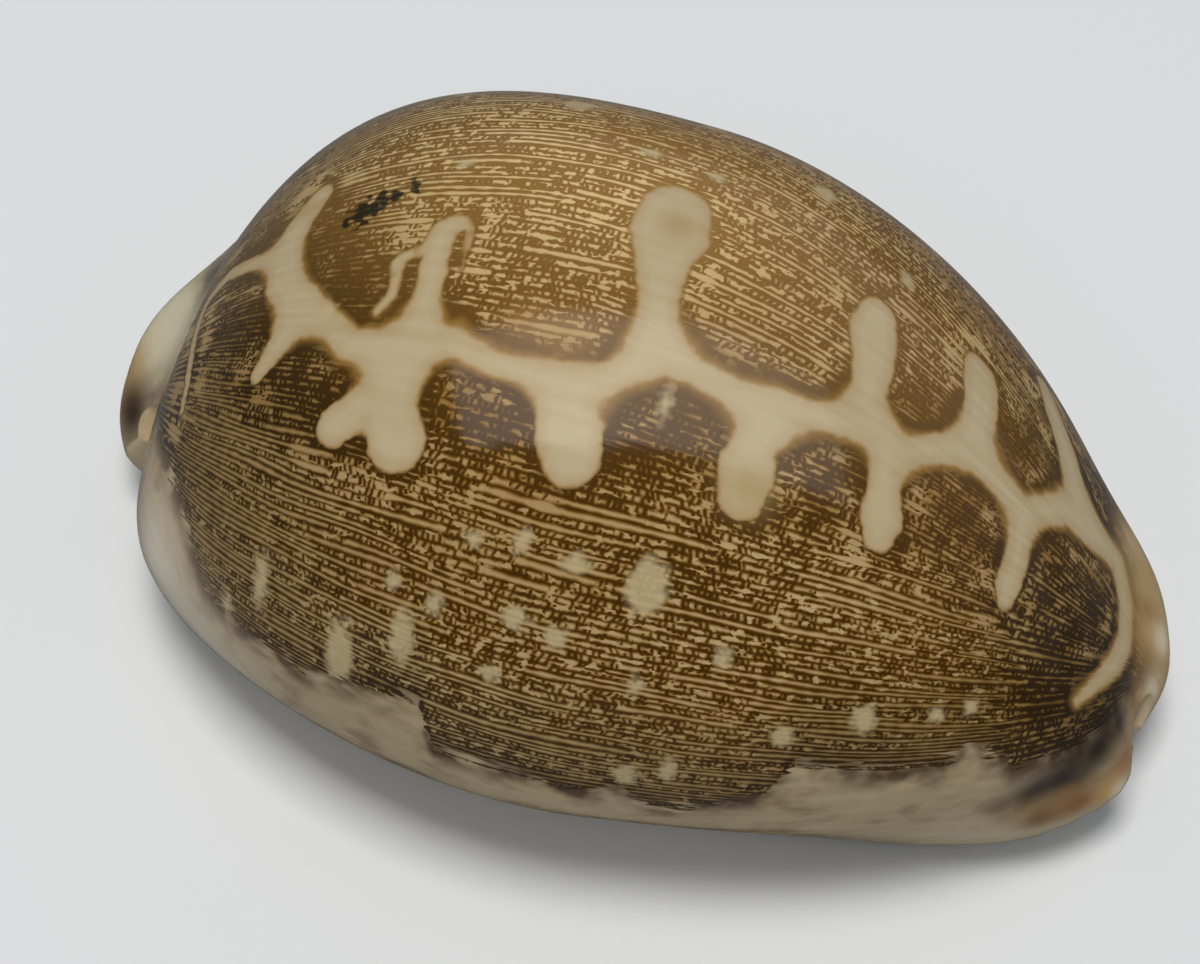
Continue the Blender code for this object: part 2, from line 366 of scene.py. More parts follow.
def lobes(place, aside, height):
    """How far the end lobes push the surface out along X."""
    push = 0.0
    ends = ((-1.0, BACK_LIP_LOBE, BACK_SPIRE_LOBE), (1.0, FRONT_LIP_LOBE, FRONT_SPIRE_LOBE))
    for end, lip_lobe, spire_lobe in ends:
        root = ease(end * place, *LOBE_ROOT)
        for side, lobe in ((-1.0, lip_lobe), (1.0, spire_lobe)):
            reach, offset, wide, low, rise, tall = lobe
            outward = side * aside
            shape = blunt(outward, offset, wide) * blunt(height, low + rise * outward, tall)
            push = push + end * root * reach * shape
    return push


def half_widths(section):
    place = -np.cos(np.pi * section)
    swell = np.sin(np.pi * section)
    return swell * along(place, LIP_SIDE), swell * along(place, SPIRE_SIDE)


def surface(section, angle, outside=True):
    """A point on the shell. The angle turns from 0 under the slit, over the outer lip's side."""
    section, angle = np.broadcast_arrays(section, angle)
    place = -np.cos(np.pi * section)
    swell = np.sin(np.pi * section)
    share = (place + 1.0) / 2.0
    pole_z = between(POLE_Z, share)
    lip_side, spire_side = half_widths(section)
    crest = along(place, CREST) - sum(POLE_Z) / 2.0
    top = pole_z + swell * crest
    flatness = np.sqrt(np.clip(1.0 - np.abs(place) ** BASE_LENGTH_POWER, 0.0, None))
    bottom = pole_z * (1.0 - flatness)
    widest = pole_z + (WIDEST_HEIGHT - pole_z) * swell

    across = np.sin(angle)
    upward = -np.cos(angle)
    own_side = np.where(across > 0.0, lip_side, spire_side)
    half_width = np.where(upward > 0.0, (lip_side + spire_side) / 2.0, own_side)
    lean = np.where(upward > 0.0, (spire_side - lip_side) / 2.0, 0.0)
    rise = np.where(upward > 0.0, top - widest, widest - bottom)
    aside = lean - np.sign(across) * half_width * np.abs(across) ** (2.0 / SQUARENESS)
    z = widest + np.sign(upward) * rise * np.abs(upward) ** (2.0 / SQUARENESS)

    under = ease(-upward, 0.0, 0.8) * ease(swell, 0.2, 0.7)
    bulge = 0.0
    for side, depth, middle, wide in zip((-1.0, 1.0), BASE_BULGE, BASE_BULGE_PLACE, BASE_BULGE_WIDTH):
        bulge = bulge + depth * hump(side * aside, middle, wide)
    valley = BASE_VALLEY * hump(aside, 0.0, BASE_VALLEY_WIDTH)
    z = z + under * (valley - bulge)

    x = between(POLE_X, share)
    if outside:
        x = x + lobes(place, aside, z)
        z = np.maximum(z, 0.0)
    return np.stack([x, slit_line(share) + aside, z], axis=-1)


def inward(section, angle):
    """The direction into the wall, square to the surface without its lobes."""
    ahead = surface(section + STEP, angle, False) - surface(section - STEP, angle, False)
    around = surface(section, angle + STEP, False) - surface(section, angle - STEP, False)
    return unit(np.cross(around, ahead))


def from_notch(section, notch_value, full_value, span):
    """A value that holds at both notches and turns smoothly to its full value between them."""
    near_end = np.minimum(section, 1.0 - section)
    return notch_value + (full_value - notch_value) * ease(near_end, *span)


def lip_rounding(section):
    """The lips' bulge into the slit: small at the notches and full along the base."""
    return from_notch(section, NOTCH_ROUNDING, LIP_ROUNDING, LIP_SPAN)


def section_angles(sections):
    """Angles of each section's points, from one lip over the top to the other, closer at the lips."""
    gap = between(SLIT_HALF_WIDTH, sections) + lip_rounding(sections)
    starts = []
    for half_width in half_widths(sections):
        ratio = gap / half_width
        starts.append(np.arcsin((ratio / (1.0 + ratio**4) ** 0.25) ** (SQUARENESS / 2.0)))
    spread = np.linspace(0.0, 1.0, POINTS_AROUND)
    spread = spread - LIP_CROWDING * np.sin(2.0 * np.pi * spread) / (2.0 * np.pi)
    rows = []
    for section, first, last in zip(sections, *starts):
        fine = np.linspace(first, 2.0 * math.pi - last, FINE_POINTS)
        steps = np.linalg.norm(np.diff(surface(section, fine), axis=0), axis=1)
        run = np.concatenate([[0.0], np.cumsum(steps)])
        rows.append(np.interp(spread * run[-1], run, fine))
    return np.array(rows)


def rim(grid):
    """The border of a grid of rows and columns, once round."""
    return np.concatenate([grid[0, :-1], grid[:-1, -1], grid[-1, :0:-1], grid[:0:-1, 0]])


def smooth_round(vectors, lengths, reach):
    """Averages unit vectors round a closed loop, over a reach in millimetres."""
    times = max(1, int((reach / lengths.mean()) ** 2))
    for _ in range(times):
        vectors = unit(vectors + (np.roll(vectors, 1, axis=0) + np.roll(vectors, -1, axis=0)) / 2.0)
    return vectors


def tooth_ridges(x, teeth, phase):
    """Ridges across the lips, from 0 between teeth to 1 on their crests."""
    turns = (x - TEETH_SPAN[0]) / (TEETH_SPAN[1] - TEETH_SPAN[0]) * teeth + phase
    ridge = (0.5 + 0.5 * np.cos(2.0 * np.pi * turns)) ** 1.3
    ends = ease(x, TEETH_SPAN[0] - TEETH_FADE, TEETH_SPAN[0] + TEETH_FADE)
    return ridge * ends * (1.0 - ease(x, TEETH_SPAN[1] - TEETH_FADE, TEETH_SPAN[1] + TEETH_FADE))


def shell_layers(teeth_depth, lip_teeth, spire_teeth):
    """Grids for the outside and the inner wall, and the rings between them, in millimetres."""
    sections = np.linspace(FIRST_SECTION, LAST_SECTION, SECTIONS)
    angles = section_angles(sections)
    sections = sections[:, None]
    outer = surface(sections, angles)
    plain = surface(sections, angles, False)
    into_wall = inward(sections, angles)
    depth = np.clip(1.0 - plain[..., 2:] / WALL_HEIGHT, 0.0, 1.0)
    full_wall = WALL_TOP + (WALL_BASE - WALL_TOP) * depth**2
    inner = plain + into_wall * from_notch(sections[..., None], WALL_NOTCH, full_wall, WALL_SPAN)

    outer_rim = rim(outer)
    inner_rim = rim(inner)
    bulge = rim(np.broadcast_to(lip_rounding(sections), angles.shape))[:, None]
    run = np.roll(outer_rim, -1, axis=0) - np.roll(outer_rim, 1, axis=0)
    to_slit = unit(np.cross(run, rim(into_wall)))
    to_slit = smooth_round(to_slit, np.linalg.norm(run, axis=1) / 2.0, RIM_SMOOTHING_MM)

    # Each side of the grid, halfway round, belongs to one lip.
    half = POINTS_AROUND // 2
    ridges = np.empty(angles.shape)
    ridges[:, :half] = tooth_ridges(plain[:, :half, 0], lip_teeth, 0.0)
    ridges[:, half:] = tooth_ridges(plain[:, half:, 0], spire_teeth, 0.4)
    step = np.linalg.norm(np.diff(plain, axis=1), axis=2)
    from_lip = np.concatenate([np.zeros((SECTIONS, 1)), np.cumsum(step, axis=1)], axis=1)
    from_spire = from_lip[:, -1:] - from_lip
    near_slit = hump(np.minimum(from_lip, from_spire), 0.0, TEETH_RUN)
    lift = (teeth_depth * ridges * near_slit)[..., None]
    outer = outer - into_wall * lift
    inner = inner + into_wall * lift

    rings = []
    rim_lift = teeth_depth * rim(ridges)[:, None]
    for place in range(1, LIP_STEPS + 1):
        turn = math.pi * place / (LIP_STEPS + 1)
        middle = (outer_rim + inner_rim) / 2.0
        half_wall = (outer_rim - inner_rim) / 2.0
        out_of_lip = to_slit * math.sin(turn) - rim(into_wall) * math.cos(turn)
        ring = middle + half_wall * math.cos(turn) + to_slit * bulge * math.sin(turn)
        rings.append(ring + out_of_lip * rim_lift)
    return outer, rings, inner


def into_box(points):
    """Carries points in millimetres to the model's box, in metres."""
    low = points.min(axis=0)
    high = points.max(axis=0)
    return BOX_LOW + (points - low) * (BOX_HIGH - BOX_LOW) / (high - low)


# ---------------------------------------------------------------- where the markings lie


class Dome:
    """Places on the shell's outside, by millimetres along it and degrees round it."""

    def __init__(self, points, is_outside):
        start, end = (np.array(corner) for corner in LINES_MEET)
        axis = unit(end - start)
        up = unit(np.array([0.0, 0.0, 1.0]) - axis * axis[2])
        out = np.cross(axis, up) * np.sign(np.cross(axis, up)[1]) * -1.0
        arm = points - start
        reach = arm @ axis
        arm = arm - reach[:, None] * axis
        self.points = points
        self.hidden = np.where(is_outside, 0.0, np.inf)
        self.x = points[:, 0]
        self.round = np.degrees(np.arctan2(arm @ up, arm @ out))
        self.round = np.where(self.round < -90.0, self.round + 360.0, self.round)
        self.radius = np.linalg.norm(arm, axis=1)
        half = np.linalg.norm(end - start) / 2.0
        self.run = LINE_ARC_RADIUS * np.arcsin(np.clip((reach - half) / LINE_ARC_RADIUS, -1.0, 1.0))

    def at(self, x, degrees):
        """The point of the shell nearest to a place."""
        sideways = np.radians(self.round - degrees) * self.radius
        return self.points[np.argmin((self.x - x) ** 2 + sideways**2 + self.hidden)]

    def strip(self, places):
        """Distance to a strip with rounded ends, below 0 inside it."""
        nearest = np.full(len(self.points), np.inf)
        stops = [(self.at(x, degrees), width) for x, degrees, width in places]
        for (first, first_width), (second, second_width) in zip(stops, stops[1:]):
            way = second - first
            share = np.clip((self.points - first) @ way / max(way @ way, 1e-9), 0.0, 1.0)
            away = np.linalg.norm(self.points - first - share[:, None] * way, axis=1)
            nearest = np.minimum(nearest, away - between((first_width, second_width), share))
        return nearest

    def spot(self, x, degrees, half_length, half_width):
        """Distance to an oval spot, below 0 inside it."""
        away = self.points - self.at(x, degrees)
        across = away[:, 1] ** 2 + away[:, 2] ** 2
        share = np.sqrt((away[:, 0] / half_length) ** 2 + across / half_width**2)
        return (share - 1.0) * min(half_length, half_width)

    def above(self, margin):
        """Millimetres above a margin on the outer lip's side, measured round the shell."""
        places, degrees = zip(*margin)
        return np.radians(self.round - np.interp(self.x, places, degrees)) * self.radius


def joined(first, second, softness):
    """The nearer of two distances, with the corner between them rounded."""
    blend = np.clip(0.5 + 0.5 * (second - first) / softness, 0.0, 1.0)
    return second + (first - second) * blend - softness * blend * (1.0 - blend)


def marking_fields(points, is_outside):
    """Everything the shell's material reads at each point, by name."""
    dome = Dome(points, is_outside)
    mantle = dome.strip(MANTLE_LINE)
    band = mantle
    for softness, branch in BRANCHES:
        band = joined(band, dome.strip(branch), softness)
    for softness, tongue in TONGUES:
        band = -joined(-band, dome.strip(tongue), softness)
    # Woven dots fill the ground beside the line, further towards the outer lip than over the top.
    places, degrees, _ = zip(*MANTLE_LINE)
    last = np.argmax(places)
    side = dome.round - np.interp(dome.x, places[:last], degrees[:last])
    reaches = (WEAVE_BELOW, np.interp(dome.x, *zip(*WEAVE_ABOVE)))
    reach = between(reaches, ease(side, -WEAVE_BLEND, WEAVE_BLEND))
    weave = 1.0 - ease(mantle, WEAVE_START * reach, reach)
    steps = np.linspace(-90.0, 270.0, ROUND_STEPS)
    turns = np.cumsum(np.interp(steps, *zip(*LINE_CROWDING))) * (steps[1] - steps[0])
    spots, specks = (
        np.minimum.reduce([np.full(len(points), MARK_FAR), *(dome.spot(*mark) for mark in marks)])
        for marks in (SPOTS, SPECKS)
    )
    margin = np.minimum(dome.above(LIP_MARGIN), -dome.above(SPIRE_MARGIN))
    at_ends = np.maximum(ease(-dome.x, *END_SHADE_BACK), ease(dome.x, *END_SHADE_FRONT))
    # Stains, with the painted light and shade at the back end among them, are mixed into one colour.
    stain_and_painted_light = np.zeros((len(points), 3))
    cover = np.zeros(len(points))
    dome_stains = [(dome.at(x, degrees), *rest) for x, degrees, *rest in DOME_STAINS]
    for centre, radius, colour, strength in (*dome_stains, *END_STAINS_AND_PAINTED_LIGHT):
        away = np.linalg.norm(points - np.array(centre), axis=1)
        share = strength * np.exp(-((away / radius) ** 2))
        weight = (share / np.maximum(share + cover * (1.0 - share), 1e-6))[:, None]
        stain_and_painted_light = stain_and_painted_light * (1.0 - weight) + np.array(linear(colour)) * weight
        cover = cover + share * (1.0 - cover)
    return {
        "run": dome.run,
        "turn": np.interp(dome.round, steps, turns),
        "spacing": np.radians(dome.radius) / np.interp(dome.round, *zip(*LINE_CROWDING)),
        "radius": dome.radius,
        "band": np.minimum(band, MARK_FAR),
        "mantle": np.minimum(mantle, MARK_FAR),
        "weave": weave,
        # Painted sheen over the top of the dome, where the glaze mirrors the light behind.
        "top": hump(dome.round, *TOP_SHEEN_ROUND) * hump(dome.x, *TOP_SHEEN_ALONG),
        # Painted shade towards the ends and low on the sides; it also changes the pattern there.
        "end_shade_and_pattern": np.maximum(at_ends, LOW_SHADE_SHARE * ease(-margin, *LOW_SHADE)),
        "spots": spots,
        "specks": specks,
        "margin": np.clip(margin, -MARGIN_FAR, MARGIN_FAR),
        "stain_and_painted_light": np.concatenate([stain_and_painted_light, np.ones((len(points), 1))], axis=1),
        "cover": cover * is_outside,
    }


# ---------------------------------------------------------------- materials


def add_node(tree, kind, *values, output=None, named=None, **settings):
    """Adds a node with its settings, fills its inputs in order or by name, and gives an output."""
    node = tree.nodes.new("ShaderNode" + kind)
    for name, value in settings.items():
        setattr(node, name, value)
    open_sockets = [socket for socket in node.inputs if socket.enabled]
    pairs = list(zip(open_sockets, values))
    pairs += [(node.inputs[name], value) for name, value in (named or {}).items()]
    for socket, value in pairs:
        if isinstance(value, bpy.types.NodeSocket):
            tree.links.new(value, socket)
        elif socket.type == "RGBA":
            socket.default_value = (*value, 1.0)
        else:
            socket.default_value = value
    outputs = {socket.name: socket for socket in reversed(node.outputs) if socket.enabled}
    return outputs.get(output) or next(iter(reversed(outputs.values())), node)


def new_material(name):
    material = bpy.data.materials.new(name)
    material.use_nodes = True
    material.node_tree.nodes.clear()
    return material, functools.partial(add_node, material.node_tree)


# Unevenness over the surface: length along the shell in millimetres, size round it in degrees,
# where it is taken from, and its detail.
SURFACE_NOISE = {
    "wander": (9.0, 6.0, 0.0, 0.0),
    "uneven_ends": (40.0, 2.2, 3.0, 0.0),
    "patches": (11.0, 20.0, 5.0, 1.0),
    "tone": (20.0, 30.0, 8.0, 0.0),
    "thickness": (0.9, 2.0, 11.0, 1.0),
    "rim_width": (5.0, 9.0, 14.0, 0.0),
    "rim_gaps": (2.6, 9.0, 17.0, 0.0),
    "tremble": (0.7, 1.6, 47.0, 1.0),
    "jumble": (0.9, 1.4, 50.0, 0.0),
    "dashes": (3.0, 9.0, 56.0, 0.0),
    "breaks": (0.7, 1.3, 59.0, 0.0),
    "edge": (1.0, 2.4, 20.0, 1.0),
    "streaks": (14.0, 2.2, 23.0, 1.0),
    "band_tone": (5.0, 9.0, 26.0, 1.0),
    "spot_edge": (0.8, 1.8, 29.0, 1.0),
    "rag": (2.2, 1.5, 35.0, 1.0),
    "waves": (6.0, 8.0, 41.0, 1.0),
    "ridges": (6.0, 0.5, 44.0, 1.0),
}

# Unevenness of the thick glaze: length along the shell and size across it in millimetres, where it
# is taken from, and its detail.
CALLUS_NOISE = {
    "clouds": (3.4, 2.4, 0.0, 3.0),
    "smears": (2.8, 2.2, 3.0, 2.0),
    "fibres": (5.0, 1.2, 6.0, 2.0),
}

# Unevenness within the rows between lines: length along in millimetres, a step from row to row
# that makes each row its own, and a change within a row.
ROW_NOISE = {
    "kind": (10.0, 7.31, 0.0),
    "line_width": (0.8, 5.37, 0.0),
    "lean": (9.0, 2.71, 0.0),
    "strokes": (0.7, 4.73, 1.3),
}


def shell_material(looks):
    """Aragonite laid down by the animal and polished by its mantle: a clear hard glaze over the
    pigment, so its reflections are sharp and only its very low waves bend them."""
    material, add = new_material("polished_aragonite")
    run, turn, spacing, radius, band, mantle, weave, margin, spots, specks, top, end_shade_and_pattern, cover, lips, lining = (
        add("Attribute", output="Fac", attribute_name=name)
        for name in (
            "run", "turn", "spacing", "radius", "band", "mantle", "weave", "margin", "spots", "specks",
            "top", "end_shade_and_pattern", "cover", "lips", "lining",
        )
    )
    surface = add("CombineXYZ", run, turn)
    soft = {
        name: add("TexNoise", add("Mapping", surface, (0.0, 0.0, shift), (0.0, 0.0, 0.0),
                                  (1.0 / length, 1.0 / width, 1.0)), 1.0, detail)
        for name, (length, width, shift, detail) in SURFACE_NOISE.items()
    }

    place = add("TexCoord", output="Object")
    for name, (length, width, shift, detail) in CALLUS_NOISE.items():
        sizes = (1.0 / MM / length, 1.0 / MM / width, 1.0 / MM / width)
        soft[name] = add("TexNoise", add("Mapping", place, (shift, 0.0, 0.0), (0.0, 0.0, 0.0), sizes),
                         1.0, detail)
    height = add("SeparateXYZ", place, output="Z")

    # Rows between the lines. Near the ends, where they crowd, every second line stops.
    wander = add("MapRange", soft["wander"], 0.0, 1.0, -0.8, 0.8)
    lines = add("Math", turn, 1.0 / looks.line_degrees, wander, operation="MULTIPLY_ADD")
    reach = add("Math", radius, add("MapRange", soft["uneven_ends"], 0.0, 1.0, -2.5, 2.5), operation="ADD")
    sparse = add("Math", reach, 13.5, operation="LESS_THAN")
    sparser = add("Math", reach, 6.5, operation="LESS_THAN")
    spread = add("Math", 2.0, add("Math", sparse, sparser, operation="ADD"), operation="POWER")
    lines = add("Math", lines, spread, operation="DIVIDE")
    squeeze = add("TexNoise", add("CombineXYZ", add("Math", run, 0.02, operation="MULTIPLY"),
                                  add("Math", lines, 0.6, operation="MULTIPLY"), 1.7), 1.0, 0.0)
    lines = add("Math", squeeze, 0.6, lines, operation="MULTIPLY_ADD")
    lines = add("Math", add("Math", soft["tremble"], -0.5, operation="ADD"), 0.22, lines,
                operation="MULTIPLY_ADD")
    row = add("Math", lines, operation="FLOOR")
    within = add("Math", lines, operation="FRACT")
    pitch = add("Math", add("Math", spacing, spread, operation="MULTIPLY"), looks.line_degrees,
                operation="MULTIPLY")
    rows = add("CombineXYZ", run, row, within)
    rough = {
        name: add("TexNoise", add("Mapping", rows, (0.0, 0.0, 0.0), (0.0, 0.0, 0.0),
                                  (1.0 / length, hop, change)), 1.0, 0.0)
        for name, (length, hop, change) in ROW_NOISE.items()
    }

    # Distance to the nearest brown stroke, in millimetres: the lines themselves, and short strokes
    # across most rows.
    centred = add("Math", within, -0.5, operation="ADD")
    from_middle = add("Math", centred, operation="ABSOLUTE")
    to_line = add("Math", add("Math", 0.5, from_middle, operation="SUBTRACT"), pitch, operation="MULTIPLY")
    start = add("MapRange", end_shade_and_pattern, 0.0, 1.0, 0.37, 0.53)
    start = add("Math", weave, -0.2, start, operation="MULTIPLY_ADD")
    script = add("Math", rough["kind"], start, operation="SUBTRACT")
    script = add("MapRange", script, 0.0, 0.05, interpolation_type="SMOOTHSTEP")
    clear = add("Math", 1.0, script, operation="SUBTRACT")
    lean = add("Math", add("MapRange", rough["lean"], 0.3, 0.7, -0.45, 0.45), centred, operation="MULTIPLY")
    jumble = add("Math", soft["jumble"], 0.5, lean, operation="MULTIPLY_ADD")
    stroke_place = add("Math", run, looks.stroke_density, jumble, operation="MULTIPLY_ADD")
    stroke_place = add("Math", row, 37.7, stroke_place, operation="MULTIPLY_ADD")
    to_stroke = add("TexVoronoi", stroke_place, 1.0, named={"Randomness": 0.85}, voronoi_dimensions="1D",
                    feature="DISTANCE_TO_EDGE")
    cell = add("TexVoronoi", stroke_place, 1.0, named={"Randomness": 0.85}, output="Color",
               voronoi_dimensions="1D", feature="F1")
    fill = add("Math", add("SeparateColor", cell, output="Red"), script, operation="MULTIPLY")
    to_stroke = add("Math", to_stroke, 1.0 / looks.stroke_density, operation="MULTIPLY")
    missing = add("MapRange", rough["strokes"], 0.39, 0.48, 0.4, 0.0, interpolation_type="SMOOTHSTEP")
    to_stroke = add("Math", add("Math", to_stroke, missing, operation="ADD"), clear, operation="ADD")
    dashes = add("Math", add("MapRange", band, 2.6, 1.4), add("MapRange", soft["dashes"], 0.45, 0.6),
                 operation="MULTIPLY")
    breaks = add("Math", script, weave, operation="SUBTRACT")
    breaks = add("Math", add("MapRange", soft["breaks"], 0.58, 0.68), breaks, operation="MULTIPLY")
    dashes = add("Math", dashes, breaks, operation="MAXIMUM")
    to_line = add("Math", dashes, 0.16, to_line, operation="MULTIPLY_ADD")
    nearest = add("Math", to_line, to_stroke, 0.20, operation="SMOOTH_MIN")
    nearest = add("Math", fill, -0.08, nearest, operation="MULTIPLY_ADD")

    # Strokes are thicker beside the pale line and at the hem, and finer over the top.
    gaps = add("MapRange", soft["rim_gaps"], 0.3, 0.6, 0.35, 1.0, interpolation_type="SMOOTHSTEP")
    near_line = add("Math", weave, gaps, operation="MULTIPLY")
    rim = add("MapRange", band, 1.2, 0.5, interpolation_type="SMOOTHSTEP")
    hem = add("MapRange", margin, 2.2, 0.3, interpolation_type="SMOOTHSTEP")
    width = add("MapRange", soft["patches"], 0.3, 0.7, looks.line_half_width - 0.03,
                looks.line_half_width + 0.03)
    for noise in (soft["thickness"], rough["line_width"]):
        change = add("Math", noise, -0.5, operation="ADD")
        width = add("Math", change, 0.16, width, operation="MULTIPLY_ADD")
    for part, change in ((near_line, 0.12), (clear, 0.05), (rim, 0.08), (hem, 0.09), (top, -0.02)):
        width = add("Math", part, change, width, operation="MULTIPLY_ADD")
    width = add("Math", width, add("MapRange", pitch, 0.2, 0.72, 0.35, 1.0), operation="MULTIPLY")
    bare = add("Math", nearest, width, operation="SUBTRACT")

    # Brown, ochre at its edges, and tan ground. Towards the ends and low on the sides they are painted
    # darker and cooler, as shade; over the top the brown and the ground are painted paler, as sheen.
    dark = add("Mix", end_shade_and_pattern, looks.line_warm, looks.line_shaded, data_type="RGBA")
    dark = add("Mix", top, dark, looks.line_top_sheen, data_type="RGBA")
    ochre = add("Mix", end_shade_and_pattern, looks.ochre, looks.ochre_shaded, data_type="RGBA")
    tan = add("Mix", end_shade_and_pattern, looks.ground_warm, looks.ground_shaded, data_type="RGBA")
    tan = add("Mix", top, tan, looks.ground_top_sheen, data_type="RGBA")
    shade = add("MapRange", soft["tone"], 0.3, 0.7, 0.35, 0.0)
    tan = add("Mix", shade, tan, looks.ochre, data_type="RGBA")
    tan = add("Mix", add("Math", near_line, 0.7, operation="MULTIPLY"), tan, looks.ochre, data_type="RGBA")
    part = add("MapRange", bare, -0.10, 0.05, interpolation_type="SMOOTHSTEP")
    colour = add("Mix", part, dark, ochre, data_type="RGBA")
    part = add("MapRange", bare, -0.03, 0.14, interpolation_type="SMOOTHSTEP")
    colour = add("Mix", part, colour, tan, data_type="RGBA")

    # Pale mantle line: a dark rim, a golden blur, and then cream with faint streaks.
    jitter = add("MapRange", soft["edge"], 0.2, 0.8, -0.12, 0.12)
    edge = add("Math", band, jitter, operation="ADD")
    from_branch = add("MapRange", add("Math", mantle, band, operation="SUBTRACT"), 0.3, 2.5, 1.0, 0.35)
    gold_width = add("MapRange", soft["rim_width"], 0.3, 0.7, 0.4, 0.85)
    gold_width = add("Math", gold_width, from_branch, operation="MULTIPLY")
    share = add("Math", edge, gold_width, operation="DIVIDE")
    part = add("MapRange", share, 1.9, 0.8, 0.0, 0.65, interpolation_type="SMOOTHSTEP")
    colour = add("Mix", part, colour, dark, data_type="RGBA")
    part = add("MapRange", share, 1.0, -0.3, interpolation_type="SMOOTHSTEP")
    colour = add("Mix", part, colour, looks.band_edge, data_type="RGBA")
    streaks = add("MapRange", soft["streaks"], 0.35, 0.7)
    part = add("Math", streaks, soft["band_tone"], operation="MULTIPLY")
    cream = add("Mix", part, looks.band, looks.band_shade, data_type="RGBA")
    part = add("MapRange", edge, -0.9, 0.0, 0.0, 0.35)
    cream = add("Mix", part, cream, looks.band_edge, data_type="RGBA")
    part = add("MapRange", edge, 0.20, -0.20, interpolation_type="SMOOTHSTEP")
    colour = add("Mix", part, colour, cream, data_type="RGBA")

    # Pale spots, with the lines just showing through.
    spot_edge = add("Math", spots, add("MapRange", soft["spot_edge"], 0.2, 0.8, -0.3, 0.3), operation="ADD")
    part = add("MapRange", spot_edge, 0.34, -0.34, 0.0, 0.82, interpolation_type="SMOOTHSTEP")
    colour = add("Mix", part, colour, looks.spot, data_type="RGBA")

    # Black specks with broken edges.
    speck_edge = add("Math", specks, add("MapRange", soft["breaks"], 0.3, 0.7, -0.4, 0.4), operation="ADD")
    part = add("MapRange", speck_edge, 0.18, -0.22, 0.0, 0.9, interpolation_type="SMOOTHSTEP")
    colour = add("Mix", part, colour, looks.speck, data_type="RGBA")

    # Below a ragged hem the glaze is thick and pale, with soft brown clouds under it.
    rag = add("MapRange", soft["rag"], 0.2, 0.8, -0.7, 0.7)
    row_rag = add("MapRange", rough["kind"], 0.2, 0.8, -0.6, 0.6)
    hem_place = add("Math", margin, add("Math", rag, row_rag, operation="ADD"), operation="ADD")
    part = add("MapRange", soft["fibres"], 0.3, 0.7)
    callus = add("Mix", part, looks.callus, looks.callus_shade, data_type="RGBA")
    part = add("MapRange", soft["clouds"], 0.47, 0.74, 0.0, 0.75, interpolation_type="SMOOTHSTEP")
    callus = add("Mix", part, callus, looks.callus_cloud, data_type="RGBA")
    smear = add("MapRange", margin, -2.8, -0.2, interpolation_type="SMOOTHSTEP")
    smear = add("Math", smear, add("MapRange", soft["smears"], 0.34, 0.56, 0.0, 0.9), operation="MULTIPLY")
    callus = add("Mix", smear, callus, looks.callus_smear, data_type="RGBA")
    callus = add("Mix", add("MapRange", height, 10.0 * MM, 3.0 * MM), callus, looks.base, data_type="RGBA")
    part = add("MapRange", hem_place, 0.14, -0.14, interpolation_type="SMOOTHSTEP")
    colour = add("Mix", part, colour, callus, data_type="RGBA")

    # Stains, with painted light and shade at the back end, the teeth's tint, and the plain lining.
    stain_and_painted_light = add("Attribute", output="Color", attribute_name="stain_and_painted_light")
    for part, coat in ((cover, stain_and_painted_light), (lips, looks.teeth), (lining, looks.lining)):
        colour = add("Mix", part, colour, coat, data_type="RGBA")

    # The mantle's polish leaves very low waves and fine ridges along the lines.
    polish = add("Math", soft["ridges"], 0.12, soft["waves"], operation="MULTIPLY_ADD")
    normal = add("Bump", named={"Height": polish, "Strength": 0.5, "Distance": POLISH_DEPTH})
    shader = add("BsdfPrincipled", named={
        "Base Color": colour, "Roughness": looks.roughness, "IOR": looks.ior, "Normal": normal,
    })
    add("OutputMaterial", shader)
    return material


def table_material(stage):
    """Matt laminate: even, pale and slightly cool. It fades into the backdrop far out, and the glaze
    mirrors it in a darker colour, which is painted shade in its reflections."""
    material, add = new_material("matt_laminate")
    seen = add("LightPath", output="Is Camera Ray")
    mirrored = add("LightPath", output="Is Glossy Ray")
    # Painted shade: the glaze's reflections see the table in a darker colour.
    colour = add("Mix", mirrored, stage.table_colour, stage.table_mirrored_shade, data_type="RGBA")
    shader = add("BsdfPrincipled", named={"Base Color": colour, "Roughness": 0.9, "Specular IOR Level": 0.1})
    away = add("VectorMath", add("TexCoord", output="Object"), output="Value", operation="LENGTH")
    far = add("MapRange", away, *TABLE_FADE, interpolation_type="SMOOTHSTEP")
    backdrop = add("Emission", stage.backdrop_colour, 1.0)
    add("OutputMaterial", add("MixShader", add("Math", far, seen, operation="MULTIPLY"), shader, backdrop))
    return material


# ---------------------------------------------------------------- making the shell


def deselect_all():
    if bpy.context.mode != "OBJECT":
        bpy.ops.object.mode_set(mode="OBJECT")
    bpy.ops.object.select_all(action="DESELECT")


def make_slab():
    """A flat slab one unit square whose top, sides and underside become the shell's three parts."""
    deselect_all()
    bpy.ops.mesh.primitive_grid_add(
        x_subdivisions=SECTIONS - 1, y_subdivisions=POINTS_AROUND - 1, size=1.0, location=(0.0, 0.0, 0.0)
    )
    slab = bpy.context.active_object
    bpy.ops.object.mode_set(mode="EDIT")
    bpy.ops.mesh.select_all(action="SELECT")
    for _ in range(LIP_STEPS + 1):
        bpy.ops.mesh.extrude_region_move(TRANSFORM_OT_translate={"value": (0.0, 0.0, 1.0)})
    bpy.ops.object.mode_set(mode="OBJECT")
    return slab


def read_points(mesh):
    points = np.empty(len(mesh.vertices) * 3)
    mesh.vertices.foreach_get("co", points)
    return points.reshape(-1, 3)


